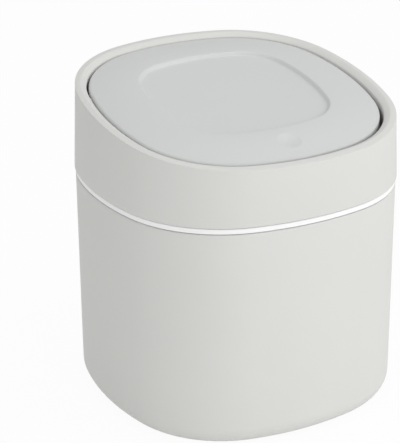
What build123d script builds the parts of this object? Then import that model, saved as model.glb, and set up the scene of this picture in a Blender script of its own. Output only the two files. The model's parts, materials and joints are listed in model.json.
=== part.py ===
"""Push top countertop bin: a rounded square bucket, a bag ring, a slanted collar and a sprung lid.

Millimetres, +Z up. The origin is the middle of the footprint, on the surface the bin stands on.
The front, with the push mark and the latch, faces -Y, and the hinge is at the back.
Every outline of the bin is one rounded square drawn at a smaller or larger half width.
What belongs to the lid is drawn on planes parallel to the lid's edge, which slope up to the back.
"""

import os
from math import atan2, cos, degrees, pi, sin, sqrt

from build123d import *

# Plan outline: four bulged sides joined by four large corners
HALF_WIDTH = 75.0  # collar's lower edge, from the middle to the face
SIDE_RADIUS = 133.5
CORNER_RADIUS = 56.3

# Bucket
BUCKET_TOP = 112.25
BUCKET_STEP_IN = 0.55  # the bucket stands back under the collar
BUCKET_WALL = 2.2
BUCKET_FLOOR = 2.6
BUCKET_DRAFT = 0.3
BUCKET_BASE_ROUND = 10.8
BUCKET_LIP_ROUND = 0.6
BASE_RECESS_HALF = 38.0
BASE_RECESS_DEPTH = 1.0

# Rubber feet
FOOT_RADIUS = 6.0
FOOT_HEIGHT = 1.6
FOOT_SHOWS = 0.6
FOOT_FROM_MIDDLE = 40.0
FOOT_EDGE_ROUND = 0.4

# Bag ring, the white line between bucket and collar
RING_HEIGHT = 3.3
RING_BAND_HEIGHT = 2.5
RING_BAND_STEP_IN = 0.15
RING_GROOVE_DEPTH = 1.3
RING_WALL = 1.6
RING_SKIRT_DEPTH = 14.0
RING_SPIGOT_HEIGHT = 6.0
RING_BAND_ROUND = 0.35
SLIP_CLEARANCE = 0.35  # pieces that lift off each other by hand

# Collar
COLLAR_WALL = 2.4
COLLAR_DRAFT = 2.11
COLLAR_FOOT_ROUND = 0.5
RIM_ROUND = 1.2
RIM_HEIGHT = 2.2  # crest above the lid's edge
RIM_THICKNESS = 2.5
RIM_BEVEL = 3.0  # width of the slope down to the lid
RIM_SINK = 0.5  # foot of that slope, below the lid's edge

# Lid seat: the plane of the lid's edge
SEAT_HEIGHT = 151.4
SEAT_SLOPE = 7.86
THROAT_STEP_IN = 6.9  # from the collar's foot in to the throat
LIP_WALL = 1.8
LIP_DEPTH = 3.0

# Lid
LID_GAP = 1.5
LID_WALL = 2.0
LID_DEPTH = 8.0
LID_EDGE_ROUND = 1.2
CROWN_HEIGHT = 3.4
CROWN_FULLNESS = 1.7  # 1 is a straight cone, 2 a parabola that is level at the dish
CROWN_STEPS = 6
DISH_STEP_IN = 23.4
DISH_DEPTH = 1.8
DISH_WALL_WIDTH = 3.6
DISH_WALL_STEPS = 6
PUSH_MARK_STEP_IN = 12.1
PUSH_MARK_RADIUS = 5.4
PUSH_MARK_DEPTH = 0.8

# Lid panel, the underside of the lid
PANEL_THICKNESS = 1.8
PANEL_CLEARANCE = 0.2
BOSS_RADIUS = 2.6
LID_SCREW_SIDE_STEP_IN = 17.2  # from the dish's edge
LID_SCREW_FRONT_STEP_IN = 15.2
LID_SCREW_REAR_STEP_IN = 25.2

# Hinge
HINGE_Y = 26.0
HINGE_DROP = 4.0  # axis below the lid's edge
HINGE_RUNNING = 0.05
PIN_RADIUS = 1.25
HINGE_REACH = 16.2  # from the throat's wall in to the pin's free end
PIN_SEAT = 1.2  # how far a pin enters the throat ring's wall
KNUCKLE_RADIUS = 3.1
KNUCKLE_WIDTH = 4.0
HINGE_NOTCH_GAP = 0.4

# Torsion springs
SPRING_WIRE = 0.7
SPRING_RADIUS = 2.1
SPRING_TURNS = 3.5
SPRING_PITCH = 1.2
SPRING_SIDE_GAP = 0.25
SPRING_ARM = 9.0
SPRING_BEND = 1.0
SPRING_TANG = 3.0
SPRING_TANG_CLEARANCE = 0.1
SPRING_PAD_GAP = 0.05
SPRING_PAD_WIDTH = 2.4
SPRING_PAD_LENGTH = 5.0
SLOT_CLEARANCE = 0.3
ARM_SLOT_WIDTH = 2.4
ARM_SLOT_END = 4.0

# Throat ring, the frame under the rim that carries hinge and latch
FRAME_GAP = 0.1  # between the collar's lip and the throat ring
LEDGE_TOP = -10.0
LEDGE_THICKNESS = 2.0
LEDGE_WIDTH = 4.9
FLANGE_STEP_OUT = 1.9
HINGE_BLOCK_STEP_OUT = 2.1
HINGE_BLOCK_WIDTH = 9.0
FRAME_BOSS_STEP_OUT = 1.1
FRAME_BOSS_RADIUS = 2.2
SIDE_POST_Y = 14.0

# Bumpers
BUMPER_RADIUS = 1.5
BUMPER_STEM_RADIUS = 1.0
BUMPER_STEP_IN = 2.8
BUMPER_GAP = 0.1

# Push latch
LATCH_STEP_IN = 15.1
SHELF_WIDTH = 34.0
SHELF_BEHIND_LATCH = 9.5
PLUNGER_WIDTH = 10.3
PLUNGER_DEPTH = 8.3
PLUNGER_TIP_GAP = 0.4  # plunger's nose below the pole plates
PLUNGER_LENGTH = 17.4
LATCH_SLIDE_CLEARANCE = 0.15
LATCH_WALL_X = 3.2
LATCH_WALL_Y = 1.7
LATCH_HEIGHT = 20.0
LATCH_FLOOR = 2.0
EAR_THICKNESS = 2.0
EAR_SCREW_SPAN = 25.0
EAR_WIDTH = 32.0

# Latch magnet and its strike plate on the lid
MAGNET_WIDTH = 7.6
MAGNET_THICKNESS = 4.0
MAGNET_HEIGHT = 2.9
POLE_THICKNESS = 0.8
POLE_HEIGHT = 3.3
STRIKE_GAP = 0.1
STRIKE_WIDTH = 20.0
STRIKE_DEPTH = 9.0
STRIKE_THICKNESS = 1.0
STRIKE_SCREW_SPAN = 14.0

# Heart shaped cam track and the wire that rides in it
WIRE_RADIUS = 0.6
WIRE_RUNNING = 0.05
WIRE_BEND = 0.65
FOLLOWER_PIN_HEIGHT = -19.0
FOLLOWER_PIVOT_HEIGHT = -28.0
FOLLOWER_REACH = 1.1  # how far the wire's end enters the track
TRACK_DEPTH = 1.2
TRACK_ROUND = 0.4
HEART_ROUND = 0.15
FOLLOWER_SWING_ROOM = 0.7
# Corners of the track and of the heart inside it, from the wire's resting place in the notch
TRACK_OUTLINE = [
    (-3.3, 1.1),
    (-0.9, 1.9),
    (-0.4, 2.9),
    (1.6, 1.7),
    (3.3, 2.5),
    (3.3, -2.6),
    (1.0, -6.2),
    (-1.0, -6.2),
    (-3.3, -2.6),
]
HEART_OUTLINE = [
    (0, -0.95),
    (1.2, 0.3),
    (1.7, -0.9),
    (0.2, -4.2),
    (-0.3, -4.2),
    (-1.7, -0.9),
    (-1.2, 0.3),
]
LATCH_COVER_THICKNESS = 0.8

# Latch spring
PUSH_SPRING_RADIUS = 1.9
PUSH_SPRING_WIRE = 0.5
PUSH_SPRING_TURNS = 7
PUSH_SPRING_BORE = 2.4
PUSH_SPRING_BORE_DEPTH = 9.0

# Screws
SCREW_SHANK_RADIUS = 1.1
SCREW_HEAD_RADIUS = 2.1
SCREW_HEAD_HEIGHT = 1.3
SCREW_PASS_CLEARANCE = 0.2
LID_SCREW_LENGTH = 6.0
FRAME_SCREW_LENGTH = 7.0
LATCH_SCREW_LENGTH = 5.2
STRIKE_SCREW_LENGTH = 3.0
STRIKE_SCREW_SHANK = 0.8
STRIKE_SCREW_HEAD = 1.6
STRIKE_BOSS_RADIUS = 2.0
STRIKE_BOSS_SPARE = 0.5

TOUCH = 0.01  # how near two places are that count as one

# Places worked out from the sizes above
SIDE_CENTRE = HALF_WIDTH - SIDE_RADIUS
RADIUS_STEP = SIDE_RADIUS - CORNER_RADIUS
CORNER_CENTRE = (2 * SIDE_CENTRE + sqrt(8 * RADIUS_STEP**2 - 4 * SIDE_CENTRE**2)) / 4
SIDE_SPREAD = degrees(atan2(CORNER_CENTRE, CORNER_CENTRE - SIDE_CENTRE))

BUCKET_HALF = HALF_WIDTH - BUCKET_STEP_IN
BUCKET_BORE_HALF = BUCKET_HALF - BUCKET_WALL
COLLAR_FOOT = BUCKET_TOP + RING_HEIGHT
COLLAR_BORE_HALF = HALF_WIDTH - COLLAR_WALL
THROAT_HALF = HALF_WIDTH - THROAT_STEP_IN
LID_HALF = THROAT_HALF - LID_GAP
LID_BORE_HALF = LID_HALF - LID_WALL
DISH_HALF = LID_HALF - DISH_STEP_IN
PANEL_HALF = LID_BORE_HALF - PANEL_CLEARANCE
PANEL_TOP = PANEL_THICKNESS - LID_DEPTH
DISH_FLOOR = CROWN_HEIGHT - DISH_DEPTH
PUSH_MARK_Y = PUSH_MARK_STEP_IN - LID_HALF
LEDGE_BOTTOM = LEDGE_TOP - LEDGE_THICKNESS
LEDGE_HALF = THROAT_HALF - LEDGE_WIDTH
LEDGE_BACK_Y = HINGE_Y - HINGE_BLOCK_WIDTH / 2
FLANGE_HALF = THROAT_HALF + FLANGE_STEP_OUT
HINGE_BLOCK_HALF = THROAT_HALF + HINGE_BLOCK_STEP_OUT
FRAME_BOSS_HALF = THROAT_HALF + FRAME_BOSS_STEP_OUT
BUMPER_HALF = THROAT_HALF - BUMPER_STEP_IN
LATCH_Y = LATCH_STEP_IN - THROAT_HALF
SHELF_BACK_Y = LATCH_Y + SHELF_BEHIND_LATCH
FRAME_TOP = -LIP_DEPTH - FRAME_GAP
POLE_TOP = -LID_DEPTH - STRIKE_GAP
PLUNGER_TOP = POLE_TOP - PLUNGER_TIP_GAP
MAGNET_FOOT = POLE_TOP - POLE_HEIGHT
LATCH_BORE_WIDTH = PLUNGER_WIDTH + 2 * LATCH_SLIDE_CLEARANCE
LATCH_BORE_DEPTH = PLUNGER_DEPTH + 2 * LATCH_SLIDE_CLEARANCE
LATCH_FACE_Y = LATCH_Y + LATCH_BORE_DEPTH / 2 + LATCH_WALL_Y
LATCH_SPRING_FOOT = LEDGE_BOTTOM - LATCH_HEIGHT + LATCH_FLOOR

HINGE_NOTCH_RADIUS = KNUCKLE_RADIUS + HINGE_NOTCH_GAP
SPRING_PAD_Y = HINGE_Y - SPRING_ARM + SPRING_PAD_LENGTH / 2
SPRING_PAD_HEIGHT = SPRING_RADIUS + SPRING_WIRE / 2 + SPRING_PAD_GAP - HINGE_DROP
FOLLOWER_SLOT_HALF = WIRE_RADIUS + FOLLOWER_SWING_ROOM
FOLLOWER_SLOT_DEPTH = WIRE_RADIUS + WIRE_BEND + 2 * WIRE_RUNNING
FOLLOWER_Y = LATCH_FACE_Y - WIRE_RADIUS - WIRE_RUNNING / 2
FOLLOWER_PIVOT_END_Y = LATCH_FACE_Y - LATCH_WALL_Y - LATCH_SLIDE_CLEARANCE
FOLLOWER_PIN_END_Y = LATCH_Y + PLUNGER_DEPTH / 2 - FOLLOWER_REACH
PUSH_MARK_BALL = (PUSH_MARK_RADIUS**2 + PUSH_MARK_DEPTH**2) / (2 * PUSH_MARK_DEPTH)
PUSH_MARK_SHARE = PUSH_MARK_STEP_IN / DISH_STEP_IN
PUSH_MARK_SURFACE = CROWN_HEIGHT * (1 - (1 - PUSH_MARK_SHARE) ** CROWN_FULLNESS)

LID_PLANE = Plane(
    origin=(0, 0, SEAT_HEIGHT),
    x_dir=(1, 0, 0),
    z_dir=Vector(0, 0, 1).rotate(Axis.X, SEAT_SLOPE),
)


def seat(height):
    """Return the plane parallel to the lid's edge, at a height above it."""
    return LID_PLANE.offset(height)


def across(x):
    """Return the plane square to the hinge axis at x, with the axis at its origin."""
    start = LID_PLANE.from_local_coords(Vector(x, HINGE_Y, -HINGE_DROP))
    return Plane(origin=start, x_dir=LID_PLANE.y_dir, z_dir=(1, 0, 0))


def latch_face(y, height):
    """Return the plane of the latch's rear face, at a depth y and a height."""
    start = LID_PLANE.from_local_coords(Vector(0, y, height))
    return Plane(origin=start, x_dir=(-1, 0, 0), z_dir=LID_PLANE.y_dir)


def rounded_square(half_width):
    """Return the bin's plan outline as a face with the given half width."""
    inset = HALF_WIDTH - half_width
    with BuildSketch() as outline:
        with BuildLine():
            for turn in (0, 90, 180, 270):
                side = Vector(SIDE_CENTRE, 0).rotate(Axis.Z, turn)
                corner = Vector(CORNER_CENTRE, CORNER_CENTRE).rotate(Axis.Z, turn)
                CenterArc(side, SIDE_RADIUS - inset, turn - SIDE_SPREAD, 2 * SIDE_SPREAD)
                CenterArc(corner, CORNER_RADIUS - inset, turn + SIDE_SPREAD, 90 - 2 * SIDE_SPREAD)
        make_face()
    return outline.sketch


def outline_corner(half_width):
    """Return how far along x and y the outline's corner lies, at 45 degrees."""
    return CORNER_CENTRE + (CORNER_RADIUS - HALF_WIDTH + half_width) / sqrt(2)


def outline_side(half_width, y):
    """Return how far along x the outline's bulged side lies, level with y."""
    return SIDE_CENTRE + sqrt((SIDE_RADIUS - HALF_WIDTH + half_width) ** 2 - y**2)


def crown(half_width, drop):
    """Return the domed block of the lid, with its edge at a half width and lowered by drop."""
    with BuildPart() as dome:
        for step in range(CROWN_STEPS + 1):
            share = step / CROWN_STEPS
            rise = CROWN_HEIGHT * (1 - (1 - share) ** CROWN_FULLNESS)
            with BuildSketch(seat(rise - drop)):
                add(rounded_square(half_width + share * (DISH_HALF - half_width)))
        loft(ruled=True)
    return dome.part


def bucket_block(half_width, foot, foot_round):
    """Return the bucket's drafted form with a half width at its top and a rounded foot."""
    with BuildPart() as block:
        with BuildSketch(Plane.XY.offset(BUCKET_TOP)):
            add(rounded_square(half_width))
        extrude(amount=foot - BUCKET_TOP, taper=BUCKET_DRAFT)
        fillet(block.edges().group_by(Axis.Z)[0], foot_round)
    return block.part


def sloped_block(half_width, top):
    """Return the collar's drafted form with a half width at its foot, cut off above the seat."""
    with BuildPart() as block:
        with BuildSketch(Plane.XY.offset(COLLAR_FOOT)):
            add(rounded_square(half_width))
        extrude(amount=HALF_WIDTH, taper=COLLAR_DRAFT)
        split(bisect_by=seat(top), keep=Keep.BOTTOM)
    return block.part


def on_outline(edge, half_width, height):
    """Tell whether an edge lies on the outline of a half width at a height above the seat."""
    middle = LID_PLANE.to_local_coords(edge.position_at(0.5))
    reach = max(abs(middle.X), abs(middle.Y))
    off = min(abs(reach - half_width), abs(reach - outline_corner(half_width)))
    return max(off, abs(middle.Z - height)) < TOUCH


def arcs_between(start, start_way, end, end_way):
    """Return two tangent arcs that lead from one point and direction to another."""
    span = end - start
    ways = start_way + end_way
    bend = 2 * (1 - start_way.dot(end_way))
    reach = (sqrt(span.dot(ways) ** 2 + bend * span.dot(span)) - span.dot(ways)) / bend
    first = start + start_way * reach
    last = end - end_way * reach
    middle = (first + last) * 0.5
    return [
        Edge.make_tangent_arc(start, start_way, middle),
        Edge.make_tangent_arc(middle, (last - first).normalized(), end),
    ]


def coil_path(stops):
    """Return the arcs of a coil through its stops."""
    path = []
    for here, there in zip(stops, stops[1:]):
        path += arcs_between(*here, *there)
    return path


def helix_stops(plane, radius, pitch, turns):
    """Return each quarter turn's point and direction on a clockwise helix up a plane's axis."""
    stops = []
    for quarter in range(round(4 * turns) + 1):
        angle = pi / 2 - quarter * pi / 2
        place = Vector(radius * cos(angle), radius * sin(angle), pitch * quarter / 4)
        way = Vector(radius * sin(angle), -radius * cos(angle), pitch / (2 * pi)).normalized()
        stops.append((plane.from_local_coords(place), turned(plane, way)))
    return stops


def turned(plane, way):
    """Return a direction of a plane's own axes as a direction of the whole bin."""
    return plane.x_dir * way.X + plane.y_dir * way.Y + plane.z_dir * way.Z


def least_gap(wire, diameter, turns):
    """Return the least gap between neighbouring turns of a coil, measured on points."""
    count = round(24 * turns)
    points = [wire.position_at(n / count) for n in range(count + 1)]
    apart = [
        (points[i] - points[j]).length
        for i in range(count + 1)
        for j in range(i + 12, count + 1)
    ]
    return min(apart) - diameter


def fasteners(places, height, head_radius, shank_radius, length):
    """Return screws with their heads' tops at a height below the seat, pointing up."""
    with BuildPart() as group:
        with BuildSketch(seat(height)):
            with Locations(*places):
                Circle(head_radius)
        extrude(amount=-SCREW_HEAD_HEIGHT)
        with BuildSketch(seat(height)):
            with Locations(*places):
                Circle(shank_radius)
        extrude(amount=length)
    return group.part


# Places along the hinge axis, from the throat's wall inwards
HINGE_WALL = outline_side(THROAT_HALF, HINGE_Y)
PIN_OUTER_END = HINGE_WALL + PIN_SEAT
PIN_INNER_END = HINGE_WALL - HINGE_REACH
NOTCH_INNER_END = PIN_INNER_END + KNUCKLE_WIDTH + 2 * SPRING_SIDE_GAP
SLOT_INNER_END = PIN_INNER_END + KNUCKLE_WIDTH + SLOT_CLEARANCE
SPRING_START = PIN_INNER_END + KNUCKLE_WIDTH + SPRING_SIDE_GAP + SPRING_WIRE / 2
SPRING_END = SPRING_START + SPRING_PITCH * SPRING_TURNS
HINGE_BOSS_INNER_END = SPRING_END + SPRING_BEND + SPRING_SIDE_GAP
HINGE_BOSS_WIDTH = PIN_OUTER_END - HINGE_BOSS_INNER_END

# Places of the screws and bumpers
FRAME_CORNER = outline_corner(FRAME_BOSS_HALF)
FRAME_SIDE = outline_side(FRAME_BOSS_HALF, SIDE_POST_Y)
FRAME_SCREWS = [
    (-FRAME_CORNER, -FRAME_CORNER),
    (FRAME_CORNER, -FRAME_CORNER),
    (-FRAME_SIDE, SIDE_POST_Y),
    (FRAME_SIDE, SIDE_POST_Y),
]
LATCH_SCREWS = [(x * EAR_SCREW_SPAN / 2, LATCH_Y) for x in (-1, 1)]
LID_SCREWS = [
    (x * (DISH_HALF - LID_SCREW_SIDE_STEP_IN), y)
    for x in (-1, 1)
    for y in (LID_SCREW_FRONT_STEP_IN - DISH_HALF, DISH_HALF - LID_SCREW_REAR_STEP_IN)
]
STRIKE_SCREWS = [(x * STRIKE_SCREW_SPAN / 2, LATCH_Y) for x in (-1, 1)]
BUMPER_CORNER = outline_corner(BUMPER_HALF)
BUMPERS = [
    (-BUMPER_HALF, 0),
    (BUMPER_HALF, 0),
    (-BUMPER_CORNER, -BUMPER_CORNER),
    (BUMPER_CORNER, -BUMPER_CORNER),
]


# Outer bucket: a drafted shell with a soft base edge and a recessed underside
with BuildPart() as outer_bucket:
    add(bucket_block(BUCKET_HALF, FOOT_SHOWS, BUCKET_BASE_ROUND))
    add(
        bucket_block(BUCKET_BORE_HALF, FOOT_SHOWS + BUCKET_FLOOR, BUCKET_BASE_ROUND - BUCKET_WALL),
        mode=Mode.SUBTRACT,
    )
    lip = outer_bucket.faces().filter_by(Axis.Z).sort_by(Axis.Z)[-1]
    fillet(lip.outer_wire().edges(), BUCKET_LIP_ROUND)
    with BuildSketch(Plane.XY.offset(FOOT_SHOWS)):
        add(rounded_square(BASE_RECESS_HALF))
    extrude(amount=BASE_RECESS_DEPTH, mode=Mode.SUBTRACT)
    with BuildSketch(Plane.XY.offset(FOOT_SHOWS)):
        with GridLocations(2 * FOOT_FROM_MIDDLE, 2 * FOOT_FROM_MIDDLE, 2, 2):
            Circle(FOOT_RADIUS)
    extrude(amount=FOOT_HEIGHT - FOOT_SHOWS, mode=Mode.SUBTRACT)
outer_bucket.part.label = "outer_bucket"

# Four rubber feet, pressed into round recesses in the base
with BuildPart() as foot_pads:
    with BuildSketch():
        with GridLocations(2 * FOOT_FROM_MIDDLE, 2 * FOOT_FROM_MIDDLE, 2, 2):
            Circle(FOOT_RADIUS)
    extrude(amount=FOOT_HEIGHT)
    chamfer(foot_pads.edges().group_by(Axis.Z)[0], FOOT_EDGE_ROUND)
foot_pads.part.label = "foot_pads"

# Bag ring: a skirt inside the bucket, a band that shows, and a spigot inside the collar
with BuildPart() as bag_ring:
    with BuildSketch(Plane.XY.offset(BUCKET_TOP)):
        add(rounded_square(BUCKET_HALF - RING_GROOVE_DEPTH))
    extrude(amount=RING_HEIGHT)
    with BuildSketch(Plane.XY.offset(BUCKET_TOP + (RING_HEIGHT - RING_BAND_HEIGHT) / 2)):
        add(rounded_square(BUCKET_HALF - RING_BAND_STEP_IN))
    extrude(amount=RING_BAND_HEIGHT)
    band_edges = [
        edge
        for face in bag_ring.faces().filter_by(Axis.Z).sort_by(SortBy.AREA)
        for edge in face.outer_wire().edges()
        if BUCKET_TOP < face.center().Z < COLLAR_FOOT
    ]
    fillet(band_edges, RING_BAND_ROUND)
    with BuildSketch(Plane.XY.offset(BUCKET_TOP)):
        add(rounded_square(BUCKET_BORE_HALF - SLIP_CLEARANCE))
    extrude(amount=-RING_SKIRT_DEPTH, taper=BUCKET_DRAFT)
    with BuildSketch(Plane.XY.offset(COLLAR_FOOT)):
        add(rounded_square(COLLAR_BORE_HALF - SLIP_CLEARANCE))
    extrude(amount=RING_SPIGOT_HEIGHT, taper=COLLAR_DRAFT)
    with BuildSketch(Plane.XY.offset(BUCKET_TOP - RING_SKIRT_DEPTH)):
        add(rounded_square(BUCKET_BORE_HALF - SLIP_CLEARANCE - RING_WALL))
    extrude(amount=RING_SKIRT_DEPTH + RING_HEIGHT + RING_SPIGOT_HEIGHT, mode=Mode.SUBTRACT)
bag_ring.part.label = "bag_ring"

# Collar: a drafted shell cut off on the slope, with a bevelled rim, a lip round the lid
# and four posts inside for the screws of the throat ring
with BuildPart() as collar:
    add(sloped_block(HALF_WIDTH, RIM_HEIGHT))
    fillet(collar.faces().sort_by(Axis.Z)[-1].edges(), RIM_ROUND)
    add(sloped_block(COLLAR_BORE_HALF, RIM_HEIGHT - RIM_THICKNESS), mode=Mode.SUBTRACT)
    with BuildSketch(seat(-LIP_DEPTH)):
        add(rounded_square(THROAT_HALF + LIP_WALL))
    extrude(amount=LIP_DEPTH)
    with BuildSketch(seat(LEDGE_TOP)):
        with Locations(*FRAME_SCREWS):
            Circle(FRAME_BOSS_RADIUS)
    extrude(amount=-LEDGE_TOP)
    with BuildSketch(seat(-LIP_DEPTH)):
        add(rounded_square(THROAT_HALF))
    extrude(amount=LIP_DEPTH, mode=Mode.SUBTRACT)
    with BuildSketch(seat(-RIM_SINK)):
        add(rounded_square(THROAT_HALF))
    with BuildSketch(seat(RIM_HEIGHT)):
        add(rounded_square(THROAT_HALF + RIM_BEVEL))
    loft(ruled=True, mode=Mode.SUBTRACT)
    with BuildSketch(seat(LEDGE_TOP)):
        with Locations(*FRAME_SCREWS):
            Circle(SCREW_SHANK_RADIUS)
    extrude(amount=FRAME_SCREW_LENGTH, mode=Mode.SUBTRACT)
    for side in (-1, 1):
        with BuildSketch(across(side * HINGE_BOSS_INNER_END)):
            Circle(KNUCKLE_RADIUS + FRAME_GAP)
        extrude(amount=side * HINGE_BOSS_WIDTH, mode=Mode.SUBTRACT)
    fillet(collar.edges().group_by(Axis.Z)[0].sort_by(SortBy.RADIUS)[-1:], COLLAR_FOOT_ROUND)
collar.part.label = "collar"

# Throat ring: the frame under the rim, with a ledge, the hinge's blocks and the latch's shelf
with BuildPart() as throat_ring:
    with BuildSketch(seat(LEDGE_BOTTOM)):
        add(rounded_square(THROAT_HALF + LIP_WALL))
    extrude(amount=FRAME_TOP - LEDGE_BOTTOM)
    with BuildSketch(seat(LEDGE_BOTTOM)):
        add(rounded_square(FLANGE_HALF))
    extrude(amount=LEDGE_THICKNESS)
    with BuildSketch(seat(LEDGE_BOTTOM)):
        add(rounded_square(HINGE_BLOCK_HALF))
        with Locations((0, HINGE_Y)):
            Rectangle(2 * HALF_WIDTH, HINGE_BLOCK_WIDTH, mode=Mode.INTERSECT)
    extrude(amount=FRAME_TOP - LEDGE_BOTTOM)
    with BuildSketch(seat(LEDGE_BOTTOM)):
        add(rounded_square(THROAT_HALF))
    extrude(amount=FRAME_TOP - LEDGE_BOTTOM, mode=Mode.SUBTRACT)
    with BuildSketch(seat(LEDGE_BOTTOM)):
        add(rounded_square(FLANGE_HALF))
        add(rounded_square(LEDGE_HALF), mode=Mode.SUBTRACT)
        with Locations((0, LEDGE_BACK_Y)):
            Rectangle(2 * HALF_WIDTH, HALF_WIDTH, align=(Align.CENTER, Align.MIN), mode=Mode.SUBTRACT)
        with Locations((0, SHELF_BACK_Y)):
            Rectangle(SHELF_WIDTH, LEDGE_HALF + SHELF_BACK_Y + 1, align=(Align.CENTER, Align.MAX))
    extrude(amount=LEDGE_THICKNESS)
    for side in (-1, 1):
        with BuildSketch(across(side * HINGE_BOSS_INNER_END)):
            Circle(KNUCKLE_RADIUS)
        extrude(amount=side * HINGE_BOSS_WIDTH)
        with BuildSketch(across(side * HINGE_BOSS_INNER_END)):
            Circle(PIN_RADIUS)
        extrude(amount=side * HINGE_BOSS_WIDTH, mode=Mode.SUBTRACT)
        with BuildSketch(across(side * HINGE_BOSS_INNER_END)):
            with Locations((-SPRING_BEND, -SPRING_RADIUS)):
                Circle(SPRING_WIRE / 2 + SPRING_TANG_CLEARANCE)
        extrude(amount=side * SPRING_TANG, mode=Mode.SUBTRACT)
    with BuildSketch(seat(LEDGE_TOP)):
        with Locations(*FRAME_SCREWS):
            Circle(FRAME_BOSS_RADIUS + FRAME_GAP)
    extrude(amount=FRAME_TOP - LEDGE_TOP, mode=Mode.SUBTRACT)
    with BuildSketch(seat(LEDGE_TOP)):
        with Locations(*FRAME_SCREWS, *LATCH_SCREWS):
            Circle(SCREW_SHANK_RADIUS + SCREW_PASS_CLEARANCE)
        with Locations(*BUMPERS):
            Circle(BUMPER_STEM_RADIUS)
        with Locations((0, LATCH_Y)):
            Rectangle(LATCH_BORE_WIDTH, LATCH_BORE_DEPTH)
    extrude(amount=-LEDGE_THICKNESS, mode=Mode.SUBTRACT)
throat_ring.part.label = "throat_ring"

# Screws that hold the throat ring up against the collar's posts
with BuildPart() as throat_screws:
    add(fasteners(FRAME_SCREWS, LEDGE_BOTTOM, SCREW_HEAD_RADIUS, SCREW_SHANK_RADIUS, FRAME_SCREW_LENGTH))
throat_screws.part.label = "throat_screws"

# Soft bumpers on the ledge, on which the lid lands
with BuildPart() as lid_bumpers:
    with BuildSketch(seat(LEDGE_TOP)):
        with Locations(*BUMPERS):
            Circle(BUMPER_RADIUS)
    extrude(amount=-LID_DEPTH - BUMPER_GAP - LEDGE_TOP)
    with BuildSketch(seat(LEDGE_TOP)):
        with Locations(*BUMPERS):
            Circle(BUMPER_STEM_RADIUS)
    extrude(amount=-LEDGE_THICKNESS)
lid_bumpers.part.label = "lid_bumpers"

# Lid cover: a crowned shell with a sunk dish, a thumb sized push mark and notches for the hinge
with BuildPart() as lid_cover:
    with BuildSketch(seat(-LID_DEPTH)):
        add(rounded_square(LID_HALF))
    extrude(amount=LID_DEPTH)
    add(crown(LID_HALF, 0))
    rim_edges = lid_cover.edges().filter_by(lambda edge: on_outline(edge, LID_HALF, 0))
    fillet(rim_edges, LID_EDGE_ROUND)
    with BuildSketch(seat(-LID_DEPTH)):
        add(rounded_square(LID_BORE_HALF))
    extrude(amount=LID_DEPTH - LID_WALL, mode=Mode.SUBTRACT)
    add(crown(LID_BORE_HALF, LID_WALL), mode=Mode.SUBTRACT)
    with BuildSketch(seat(DISH_FLOOR - LID_WALL)):
        add(rounded_square(DISH_HALF + LID_WALL / 2))
    extrude(amount=CROWN_HEIGHT - DISH_FLOOR + LID_WALL / 2)
    for step in range(DISH_WALL_STEPS + 1):
        share = step / DISH_WALL_STEPS
        with BuildSketch(seat(DISH_FLOOR + DISH_DEPTH * (1 - cos(pi * share)) / 2)):
            add(rounded_square(DISH_HALF - DISH_WALL_WIDTH * (1 - share)))
    loft(ruled=True, mode=Mode.SUBTRACT)
    with Locations(seat(PUSH_MARK_SURFACE + PUSH_MARK_BALL - PUSH_MARK_DEPTH)):
        with Locations((0, PUSH_MARK_Y)):
            Sphere(PUSH_MARK_BALL, mode=Mode.SUBTRACT)
    with BuildSketch(seat(PANEL_TOP)):
        with Locations(*LID_SCREWS):
            Circle(BOSS_RADIUS)
    extrude(amount=DISH_FLOOR - LID_WALL - PANEL_TOP)
    with BuildSketch(seat(PANEL_TOP)):
        with Locations(*LID_SCREWS):
            Circle(SCREW_SHANK_RADIUS)
    extrude(amount=LID_SCREW_LENGTH - PANEL_THICKNESS + SCREW_HEAD_HEIGHT, mode=Mode.SUBTRACT)
    for side in (-1, 1):
        with BuildSketch(across(side * NOTCH_INNER_END)):
            Circle(HINGE_NOTCH_RADIUS)
            Rectangle(2 * HINGE_NOTCH_RADIUS, LID_DEPTH, align=(Align.CENTER, Align.MAX))
        extrude(amount=side * (LID_HALF - NOTCH_INNER_END), mode=Mode.SUBTRACT)
    with BuildSketch(seat(SPRING_PAD_HEIGHT)):
        with Locations((-SPRING_START, SPRING_PAD_Y), (SPRING_START, SPRING_PAD_Y)):
            Rectangle(SPRING_PAD_WIDTH, SPRING_PAD_LENGTH)
    extrude(until=Until.NEXT)
lid_cover.part.label = "lid_cover"

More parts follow.
